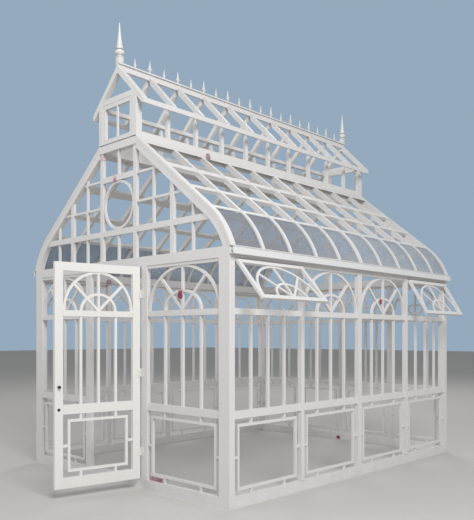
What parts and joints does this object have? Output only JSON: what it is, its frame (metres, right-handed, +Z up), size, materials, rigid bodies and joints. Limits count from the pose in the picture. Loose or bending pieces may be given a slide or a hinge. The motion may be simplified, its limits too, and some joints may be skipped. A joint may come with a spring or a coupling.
{
  "type": "glass greenhouse with a lantern roof",
  "caption": "Free-standing greenhouse frame of white painted metal with arched window bars, curved eaves panes, an open lantern roof with cresting, swung vents and a hinged door.",
  "frame": {"origin": "on the ground, on the underside of the front sill, midway between the corner posts", "axes": "+Z up; +Y from the door wall to the rear wall; +X to the right for someone who faces the door from outside"},
  "size_m": [3.6175, 4.9477, 4.7609],
  "materials": {
    "frame_paint": "satin white paint, a little dusty",
    "door_paint": "satin white paint",
    "gutter_paint": "satin white paint",
    "hinge_metal": "white paint worn at the knuckles",
    "handle_black": "black enamel",
    "curved_glass": "clear curved panes with a film of dust"
  },
  "bodies": {
    "root": {"base_sills": "frame_paint", "corner_posts": "frame_paint", "door_hinge_plates": "hinge_metal", "door_posts": "frame_paint", "eaves_beams": "frame_paint", "front_gable_lattice": "frame_paint", "front_gable_oval": "frame_paint", "front_lower_frames": "frame_paint", "front_wall_grilles": "frame_paint", "gable_beams": "frame_paint", "gable_rafters": "frame_paint", "gutters": "gutter_paint", "lantern_base_frame": "frame_paint", "lantern_eaves_rails": "frame_paint", "lantern_flashings": "frame_paint", "lantern_posts": "frame_paint", "lantern_rafters": "frame_paint", "lantern_top_frame": "frame_paint", "left_eaves_glass": "curved_glass", "left_front_vent": "frame_paint", "left_lower_frames": "frame_paint", "left_purlins": "frame_paint", "left_rear_vent": "frame_paint", "left_roof_ribs": "frame_paint", "left_wall_grilles": "frame_paint", "left_wall_posts": "frame_paint", "rear_gable_lattice": "frame_paint", "rear_gable_oval": "frame_paint", "rear_lower_frames": "frame_paint", "rear_wall_grilles": "frame_paint", "rear_wall_posts": "frame_paint", "ridge_beam": "frame_paint", "ridge_cresting": "frame_paint", "ridge_finials": "frame_paint", "right_eaves_glass": "curved_glass", "right_front_vent": "frame_paint", "right_lower_frames": "frame_paint", "right_purlins": "frame_paint", "right_rear_vent": "frame_paint", "right_roof_ribs": "frame_paint", "right_wall_grilles": "frame_paint", "right_wall_posts": "frame_paint"},
    "door": {"door_leaf": "door_paint", "door_handle": "handle_black", "door_hinge_knuckles": "hinge_metal"}
  },
  "joints": [
    {"name": "door_hinge", "type": "hinge", "parent": "root", "child": "door", "pos_m": [0.4, -0.043, 1.1], "axis": [0, 0, 1], "range_deg": [-80, 85]}
  ]
}
